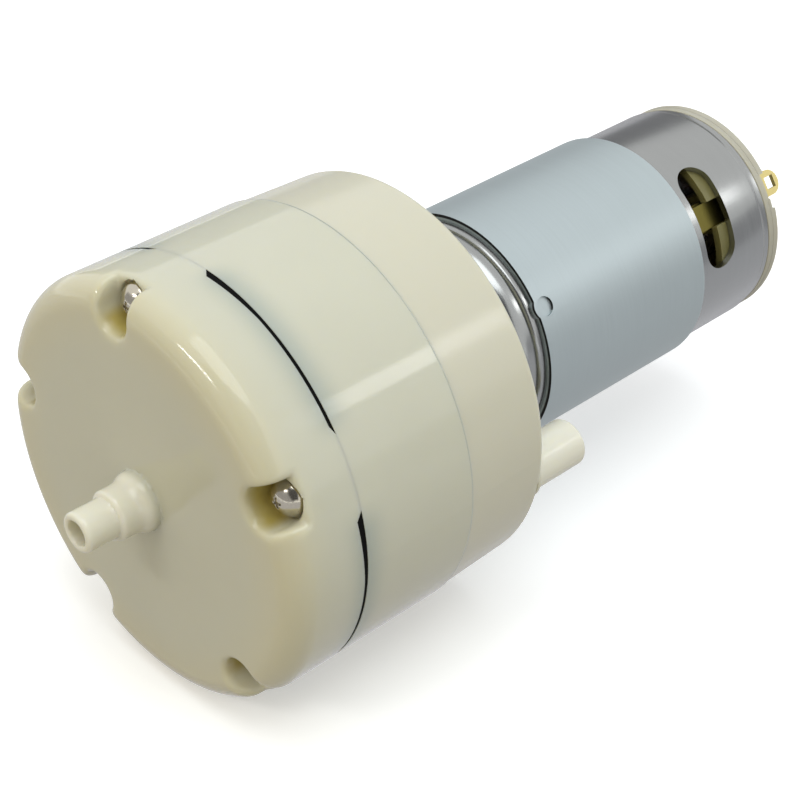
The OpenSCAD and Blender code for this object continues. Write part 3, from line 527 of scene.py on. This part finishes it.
placed = add(screw_tree, "GeometryNodeTransform", {
    "Geometry": placed.outputs[0], "Rotation": (0, 0, screw_turn),
    "Translation": (0, 0, screw_seat_h * MM)})
placed = add(screw_tree, "GeometryNodeTransform", {
    "Geometry": placed.outputs[0], "Rotation": (radians(90), 0, 0)})
nickel = metal("nickel_steel", (0.56, 0.52, 0.43), 0.12, depth=0.0)
close_tree(screw_tree, placed.outputs[0], nickel)
screws = grow("domed_head_screws", screw_tree)
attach(screws, "pump_frame")
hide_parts("head_screws")
dress(nickel, "motor_screws")

# Rubber parts. Black moulded rubber: the diaphragm's lips show in the slits between cover and
# block, and the gasket and the valves lie inside the head.
rubber = plastic("black_rubber", (0.004, 0.004, 0.004), (0.006, 0.006, 0.006), 0.6)
rubber.node_tree.nodes["Principled BSDF"].inputs["Specular IOR Level"].default_value = 0.04
dress(rubber, "diaphragm", "head_gasket", "inlet_valves", "outlet_valves")
lip_r = body_r - 0.1
lip_play = 0.03
lip_lap = 0.01
lip_tree, size = new_tree("rubber_lips", reach=body_r + 1, depth=14.0)
ring = slit_outline(lip_tree, [
    (-slit_half, lip_lap), (slit_point - slit_half, lip_play - slit_wide),
    (slit_point + slit_swell - slit_half, lip_play - slit_thin),
    (slit_half - slit_point, lip_play - slit_thin), (slit_half, lip_lap)])
ends = [add(lip_tree, "ShaderNodeCombineXYZ", {"Z": radius * MM}).outputs[0]
        for radius in (size["reach"] - size["depth"], size["reach"])]
spoke = add(lip_tree, "GeometryNodeCurvePrimitiveLine", {"Start": ends[0], "End": ends[1]})
prism = add(lip_tree, "GeometryNodeCurveToMesh", {
    "Curve": spoke.outputs[0], "Profile Curve": ring, "Fill Caps": True})
whole = add(lip_tree, "GeometryNodeJoinGeometry")
for turned_prism in between_screws(lip_tree, prism.outputs[0]):
    clipped = add(lip_tree, "GeometryNodeMeshBoolean", operation="INTERSECT", solver="MANIFOLD")
    limit = cutter_rod(lip_tree, lip_r, parting_h - 1, parting_h + 3, sides=180)
    lip_tree.links.new(turned_prism, clipped.inputs["Mesh 2"])
    lip_tree.links.new(limit, clipped.inputs["Mesh 2"])
    lip_tree.links.new(clipped.outputs[0], whole.inputs[0])
close_tree(lip_tree, whole.outputs[0], rubber)
lips = grow("diaphragm_lips", lip_tree)
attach(lips, "pump_frame")

# Valve plate and wobble plate. Both are moulded in a whiter plastic than the body and lie inside
# it: the plate is clamped behind the gasket, and the star runs on the oblique pin.
milky = plastic("milky_plastic", (0.75, 0.75, 0.68), (0.70, 0.70, 0.62), 0.3)
dress(milky, "valve_plate", "wobble_plate")

# Motor can. Deep drawn from nickel-plated steel sheet, with fine drawing marks. Its rear edge is
# drawn in over the end cap, and two slots with round ends let air out by the commutator.
can_r = 21.0
can_bore = 19.8
can_step = 0.7
can_front_h = 27.0
can_rear_h = -41.0
shoulder = 4.0
crimp = 0.35
crimp_end_h = -39.2
front_bore_r = 16.1
front_bore_h = 22.0
front_bore_round = 3.0
bearing_seat_r = 8.02
bearing_foot_h = 25.0
spigot_wall = 0.75
spigot_top_h = 31.8
spigot_floor_h = 31.02
shaft_hole_r = 4.7
motor_turn = radians(34.5)
vent_h = -26.9
vent_end = 3.95
vent_least = 0.02
vent_half_angle = radians(27.5)
motor_screw_circle_r = 14.5
motor_screw_hole_r = 2.02
hole_sides = 48


def arc(r, h, radius, start, end, steps=10):
    """Points of an arc in a profile, in degrees from the outward direction."""
    return [(r + radius * cos(radians(start + (end - start) * i / steps)),
             h + radius * sin(radians(start + (end - start) * i / steps))) for i in range(steps + 1)]


def lathe(name, profile, steps=256):
    """Turns a closed profile of (radius, height) points round the shaft."""
    count = len(profile)
    points = [(r * MM * cos(2 * pi * i / steps), -h * MM, r * MM * sin(2 * pi * i / steps))
              for i in range(steps) for r, h in profile]
    faces = []
    for i in range(steps):
        here = i * count
        there = (i + 1) % steps * count
        faces += [(here + j, here + (j + 1) % count, there + (j + 1) % count, there + j)
                  for j in range(count)]
    return closed_piece(name, points, faces)


def closed_piece(name, points, faces):
    """A closed piece whose faces point outwards."""
    mesh = bpy.data.meshes.new(name)
    mesh.from_pydata(points, [], faces)
    work = bmesh.new()
    work.from_mesh(mesh)
    bmesh.ops.recalc_face_normals(work, faces=work.faces[:])
    work.to_mesh(mesh)
    work.free()
    piece = bpy.data.objects.new(name, mesh)
    bpy.context.scene.collection.objects.link(piece)
    return piece


def cut_away(piece, cutters):
    """Takes the cutters off a piece and removes them."""
    for cutter in cutters:
        step = piece.modifiers.new("cut", "BOOLEAN")
        step.operation = "DIFFERENCE"
        step.solver = "MANIFOLD"
        step.object = cutter
    cut = piece.evaluated_get(bpy.context.evaluated_depsgraph_get())
    mesh = bpy.data.meshes.new_from_object(cut)
    piece.modifiers.clear()
    piece.data = mesh
    for cutter in cutters:
        bpy.data.objects.remove(cutter)


def vent_cutter(turn, steps=96, inner_r=17, outer_r=24):
    """The slot's opening: a block bent round the can, with round ends."""
    straight = vent_half_angle - vent_end / can_r
    points = []
    for i in range(steps + 1):
        angle = -cos(pi * i / steps) * vent_half_angle
        over = max(0.0, abs(angle) - straight) * can_r / vent_end
        half = max(vent_least, vent_end * (1 - min(1.0, over) ** 2) ** 0.5)
        corners = ((inner_r, -half), (outer_r, -half), (outer_r, half), (inner_r, half))
        points += [(r * MM * cos(turn + angle), -(vent_h + h) * MM, r * MM * sin(turn + angle))
                   for r, h in corners]
    faces = [(i + j, i + (j + 1) % 4, i + 4 + (j + 1) % 4, i + 4 + j)
             for i in range(0, 4 * steps, 4) for j in range(4)]
    faces += [(3, 2, 1, 0), tuple(4 * steps + j for j in range(4))]
    return closed_piece("vent_cutter", points, faces)


def screw_hole(turn):
    """A rod through the front plate for a motor screw."""
    points = []
    for h in (can_front_h - 3, can_front_h + 1):
        for k in range(hole_sides):
            angle = 2 * pi * k / hole_sides
            x = motor_screw_circle_r * cos(turn) + motor_screw_hole_r * cos(angle)
            z = motor_screw_circle_r * sin(turn) + motor_screw_hole_r * sin(angle)
            points.append((x * MM, -h * MM, z * MM))
    faces = [(k, (k + 1) % hole_sides, hole_sides + (k + 1) % hole_sides, hole_sides + k)
             for k in range(hole_sides)]
    faces += [tuple(range(hole_sides)), tuple(range(2 * hole_sides - 1, hole_sides - 1, -1))]
    return closed_piece("hole_cutter", points, faces)


slim = can_r - can_step
spigot_r = bearing_seat_r + spigot_wall
can_profile = [
    (can_r - crimp, can_rear_h), (can_r - crimp, crimp_end_h - 0.7),
    (can_r - crimp * 0.85, crimp_end_h - 0.45), (can_r - crimp * 0.15, crimp_end_h + 0.05),
    (can_r, crimp_end_h + 0.3)]
can_profile += arc(slim, can_front_h - shoulder - 1.4, can_step, 0, 90)
can_profile += arc(slim - shoulder, can_front_h - shoulder, shoulder, 0, 90, 16)
can_profile += [
    (spigot_r, can_front_h), (spigot_r, spigot_top_h), (shaft_hole_r, spigot_top_h),
    (shaft_hole_r, spigot_floor_h), (bearing_seat_r, spigot_floor_h),
    (bearing_seat_r, bearing_foot_h)]
can_profile += arc(front_bore_r, front_bore_h, front_bore_round, 90, 19.5)
can_profile += [(can_bore, front_bore_h + 1), (can_bore, can_rear_h)]
can = lathe("drawn_motor_can", can_profile)
can.data.materials.append(metal("drawn_steel", (0.37, 0.38, 0.375), 0.18, depth=0.05))
cut_away(can, [vent_cutter(motor_turn), vent_cutter(motor_turn + pi),
               screw_hole(motor_turn + pi / 2), screw_hole(motor_turn - pi / 2)])
smooth(can.data, 30)
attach(can, "pump_frame")
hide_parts("motor_can")

# Flux ring. A zinc-plated steel strip, satin and slightly blue, rolled and pressed round the can.
# The outer half of its front edge is black.
zinc = metal("zinc_steel", (0.44, 0.50, 0.515), 0.42, depth=0.02, purity=0.7)
tree = zinc.node_tree
facing = add(tree, "ShaderNodeTexCoord")
turned_to = add(tree, "ShaderNodeSeparateXYZ", {0: facing.outputs["Normal"]})
x, y, z = spread_axes(tree, facing.outputs["Object"])
outer_half = (x * x + z * z).root().rise(21.35, 21.5)
black_front_edge = (-Field(tree, turned_to.outputs[1])).rise(0.7, 0.8) * outer_half
slot = tree.nodes["Principled BSDF"].inputs["Base Color"]
tree.links.new(mix(tree, black_front_edge, slot.links[0].from_socket, (0.015, 0.015, 0.015)), slot)
dress(zinc, "flux_ring")

# End cap. Moulded in cream nylon and pressed into the can: its skirt shows in the vents, and the
# can's drawn-in edge holds it by its shoulder. Within the can it is painted darker, as shade.
cap_face_h = -43.6
cap_inner_r = 19.8
cap_shoulder_r = 20.75
cap_shoulder_h = -41.15
cap_shoulder_foot_h = -42.7
cap_shoulder_round = 0.2


def paint_shade_inside(material, shade_tone):
    """Gives a material a darker tone within the can: painted shade."""
    tree = material.node_tree
    place = add(tree, "ShaderNodeTexCoord")
    x, y, z = spread_axes(tree, place.outputs["Object"])
    inside = (-(x * x + z * z).root()).rise(-cap_inner_r, 0.1 - cap_inner_r)
    inside = inside * (-y).rise(cap_face_h, cap_face_h + 0.5)
    slot = tree.nodes["Principled BSDF"].inputs["Base Color"]
    tree.links.new(mix(tree, inside, slot.links[0].from_socket, shade_tone), slot)


nylon = plastic("nylon", (0.46, 0.44, 0.36), (0.42, 0.40, 0.32), 0.35, glow=0.2)
# Painted shade: the nylon is darker within the can.
paint_shade_inside(nylon, (0.17, 0.155, 0.055))
dress(nylon, "end_cap")
shoulder_profile = arc(cap_shoulder_r - cap_shoulder_round, cap_shoulder_h - cap_shoulder_round,
                       cap_shoulder_round, 0, 90, 4)
shoulder_profile += [
    (cap_inner_r + 0.05, cap_shoulder_h), (cap_inner_r + 0.05, cap_shoulder_foot_h),
    (cap_shoulder_r, cap_shoulder_foot_h)]
seat = lathe("cap_shoulder", shoulder_profile)
seat.data.materials.append(nylon)
smooth(seat.data, 30)
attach(seat, "pump_frame")

# Terminals, brush boxes and wheel. Tabs and boxes are blanked and bent from sheet brass and held
# in the end cap; within the can the brass is painted darker as shade, and the boxes near black as
# shade. The wheel on the shaft is turned from brass bar.
brass = metal("brass", (0.58, 0.49, 0.21), 0.3, depth=0.02)
# Painted shade: the brass is darker within the can.
paint_shade_inside(brass, (0.14, 0.12, 0.03))
dress(brass, "terminals", "eccentric_wheel")
# The brush boxes' brass is painted dark, as shade deep in the can.
dress(metal("painted_shade_brass", (0.12, 0.10, 0.025), 0.45, depth=0.02), "brush_boxes")

# Shaft, pin, bearings and springs. Bright steel: shaft, pin and races are ground, the bearings are
# pressed into their seats, and the springs are bent or wound from drawn wire and strip.
dress(metal("ground_steel", (0.66, 0.66, 0.66), 0.2), "motor_shaft", "oblique_pin",
      "bearing_inner_races", "front_bearing", "rear_bearing", "magnet_springs", "brush_springs")

# Magnets, core and grub screw. Sintered ferrite arcs held by springs, varnished steel laminations
# pressed on the shaft, and a blackened screw: all black and slightly rough.
dress(metal("black_steel", (0.06, 0.06, 0.065), 0.4), "armature_core", "magnets", "grub_screw")

# Windings and commutator. Enamelled copper wire wound round the core's teeth, and bare copper bars
# moulded on a hub. The hub, the fibre washers and the carbon brushes share one dull black.
dress(metal("copper", (0.62, 0.30, 0.15), 0.3), "windings", "commutator")
black = plastic("black_plastic", (0.03, 0.03, 0.03), (0.04, 0.04, 0.04), 0.5)
dress(black, "commutator_hub", "shaft_washers", "carbon_brushes")

# Floor. A plain board that the camera and bright surfaces see as white. What it throws back on the
# object is dimmer and warm, as from a table.
floor_z = -0.0366
floor_reach = 3
floor_mesh = bpy.data.meshes.new("floor")
floor_mesh.from_pydata([(-floor_reach, -floor_reach, floor_z), (floor_reach, -floor_reach, floor_z),
                        (floor_reach, floor_reach, floor_z), (-floor_reach, floor_reach, floor_z)],
                       [], [(0, 1, 2, 3)])
floor = bpy.data.objects.new("floor", floor_mesh)
bpy.context.scene.collection.objects.link(floor)


def seen_directly(tree):
    """1 for rays from the camera, off a mirror or through glass."""
    path = add(tree, "ShaderNodeLightPath")
    seen = Field(tree, path.outputs["Is Camera Ray"])
    for label in ("Is Glossy Ray", "Is Transmission Ray"):
        seen = seen.most(Field(tree, path.outputs[label]))
    return seen


white = bpy.data.materials.new("white_board")
white.use_nodes = True
tree = white.node_tree
shader = tree.nodes["Principled BSDF"]
tree.links.new(mix(tree, seen_directly(tree), (0.38, 0.35, 0.28), (0.92, 0.92, 0.92)),
               shader.inputs["Base Color"])
glare = mix(tree, seen_directly(tree), (0.0, 0.0, 0.0), (0.3, 0.3, 0.3))
tree.links.new(glare, shader.inputs["Emission Color"])
shader.inputs["Emission Strength"].default_value = 1.0
shader.inputs["Roughness"].default_value = 0.9
shader.inputs["Specular IOR Level"].default_value = 0.0
floor_mesh.materials.append(white)

# Studio: a broad soft lamp from above, a small one whose reflection is the streak along the body,
# and two more for the tail and for the rims. A pale sky fills in, and dark boards round the object
# show only where plastic and metal mirror them.


def softbox(name, place, width, height, watts, colour=(1, 1, 1), across=(1, 0, 0)):
    """A lamp that faces the object, with its width along the vector across."""
    lamp = bpy.data.lights.new(name, "AREA")
    lamp.shape = "RECTANGLE"
    lamp.size = width
    lamp.size_y = height
    lamp.energy = watts
    lamp.color = colour
    lamp_object = bpy.data.objects.new(name, lamp)
    bpy.context.scene.collection.objects.link(lamp_object)
    lamp_object.location = place
    back = (Vector(place) - Vector((0.0, -0.05, 0.0))).normalized()
    height_axis = back.cross(Vector(across)).normalized()
    width_axis = height_axis.cross(back)
    lamp_object.rotation_euler = Matrix((width_axis, height_axis, back)).transposed().to_euler()


softbox("top_lamp", (0.35, -0.1, 1.6), 1.2, 1.2, 9.0, (0.94, 0.98, 1.0))
softbox("streak_lamp", (0.759, 0.684, 0.617), 0.15, 0.255, 0.45, across=(0.63, 0.0, -0.776))
softbox("tail_lamp", (0.674, 0.90, 0.481), 0.2, 0.25, 0.28, across=(0.63, 0.0, -0.776))
softbox("rim_lamp", (-0.10, -0.98, 0.80), 0.5, 0.07, 2.0)


def dark_board(name, centre, across, up, grey):
    """A board that only reflections see."""
    centre, across, up = Vector(centre), Vector(across), Vector(up)
    mesh = bpy.data.meshes.new(name)
    mesh.from_pydata([centre - across - up, centre + across - up, centre + across + up,
                      centre - across + up], [], [(0, 1, 2, 3)])
    board = bpy.data.objects.new(name, mesh)
    bpy.context.scene.collection.objects.link(board)
    paint = bpy.data.materials.new(name)
    paint.use_nodes = True
    shader = paint.node_tree.nodes["Principled BSDF"]
    shader.inputs["Base Color"].default_value = (0, 0, 0, 1)
    shader.inputs["Specular IOR Level"].default_value = 0.0
    shader.inputs["Emission Color"].default_value = (grey, grey, grey * 1.04, 1)
    shader.inputs["Emission Strength"].default_value = 1.0
    mesh.materials.append(paint)
    board.visible_camera = False
    board.visible_diffuse = False
    board.visible_shadow = False


dark_board("floor_board", (0.83, 0.85, floor_z + 0.001), (0.7, 0, 0), (0, 0.7, 0), 0.45)
dark_board("far_board", (0.93, 1.0, 0.05), (0.6, -0.55, 0), (0, 0, 0.1), 0.45)
dark_board("left_board", (-0.45, 0.45, 0.1), (0.3, 0.3, 0), (0, 0, 0.17), 0.3)
dark_board("camera_board", (0.38, -0.42, 0.34), (0.25, 0.25, 0), (-0.15, 0.15, 0.27), 0.1)
dark_board("front_board", (-0.1, -0.6, 0.18), (0.8, 0, 0), (0, 0, 0.22), 0.45)
dark_board("near_board", (0.0, 0.1, floor_z + 0.0005), (0.5, 0, 0), (0, 0.5, 0), 0.66)

world = bpy.data.worlds.new("pale_sky")
bpy.context.scene.world = world
world.use_nodes = True
sky = world.node_tree
compass = add(sky, "ShaderNodeTexCoord")
bearing = add(sky, "ShaderNodeSeparateXYZ", {0: compass.outputs["Generated"]})
ahead = (-Field(sky, bearing.outputs[1])).rise(-0.1, 1.0)
lit = mix(sky, ahead, (0.86, 0.90, 0.94), (0.68, 0.59, 0.40))
shown = mix(sky, seen_directly(sky), lit, (1.0, 1.0, 1.0))
sky.links.new(shown, sky.nodes["Background"].inputs["Color"])

# Camera at the photograph's angle: level, from the front right and above, with a long lens.
azimuth = radians(46.2)
elevation = radians(34.64)
distance = 0.4016
lens_pixels = 1963.0
picture_pixels = 800
aim = Vector((-0.0349, -0.0016, -0.0413))
forward = Vector((-sin(azimuth) * cos(elevation), cos(azimuth) * cos(elevation), -sin(elevation)))
camera = bpy.data.cameras.new("camera")
camera.lens = camera.sensor_width * lens_pixels / picture_pixels
camera_object = bpy.data.objects.new("camera", camera)
bpy.context.scene.collection.objects.link(camera_object)
camera_object.location = aim - forward * distance
camera_object.rotation_euler = forward.to_track_quat("-Z", "Y").to_euler()
bpy.context.scene.camera = camera_object
bpy.context.scene.view_settings.view_transform = "Standard"
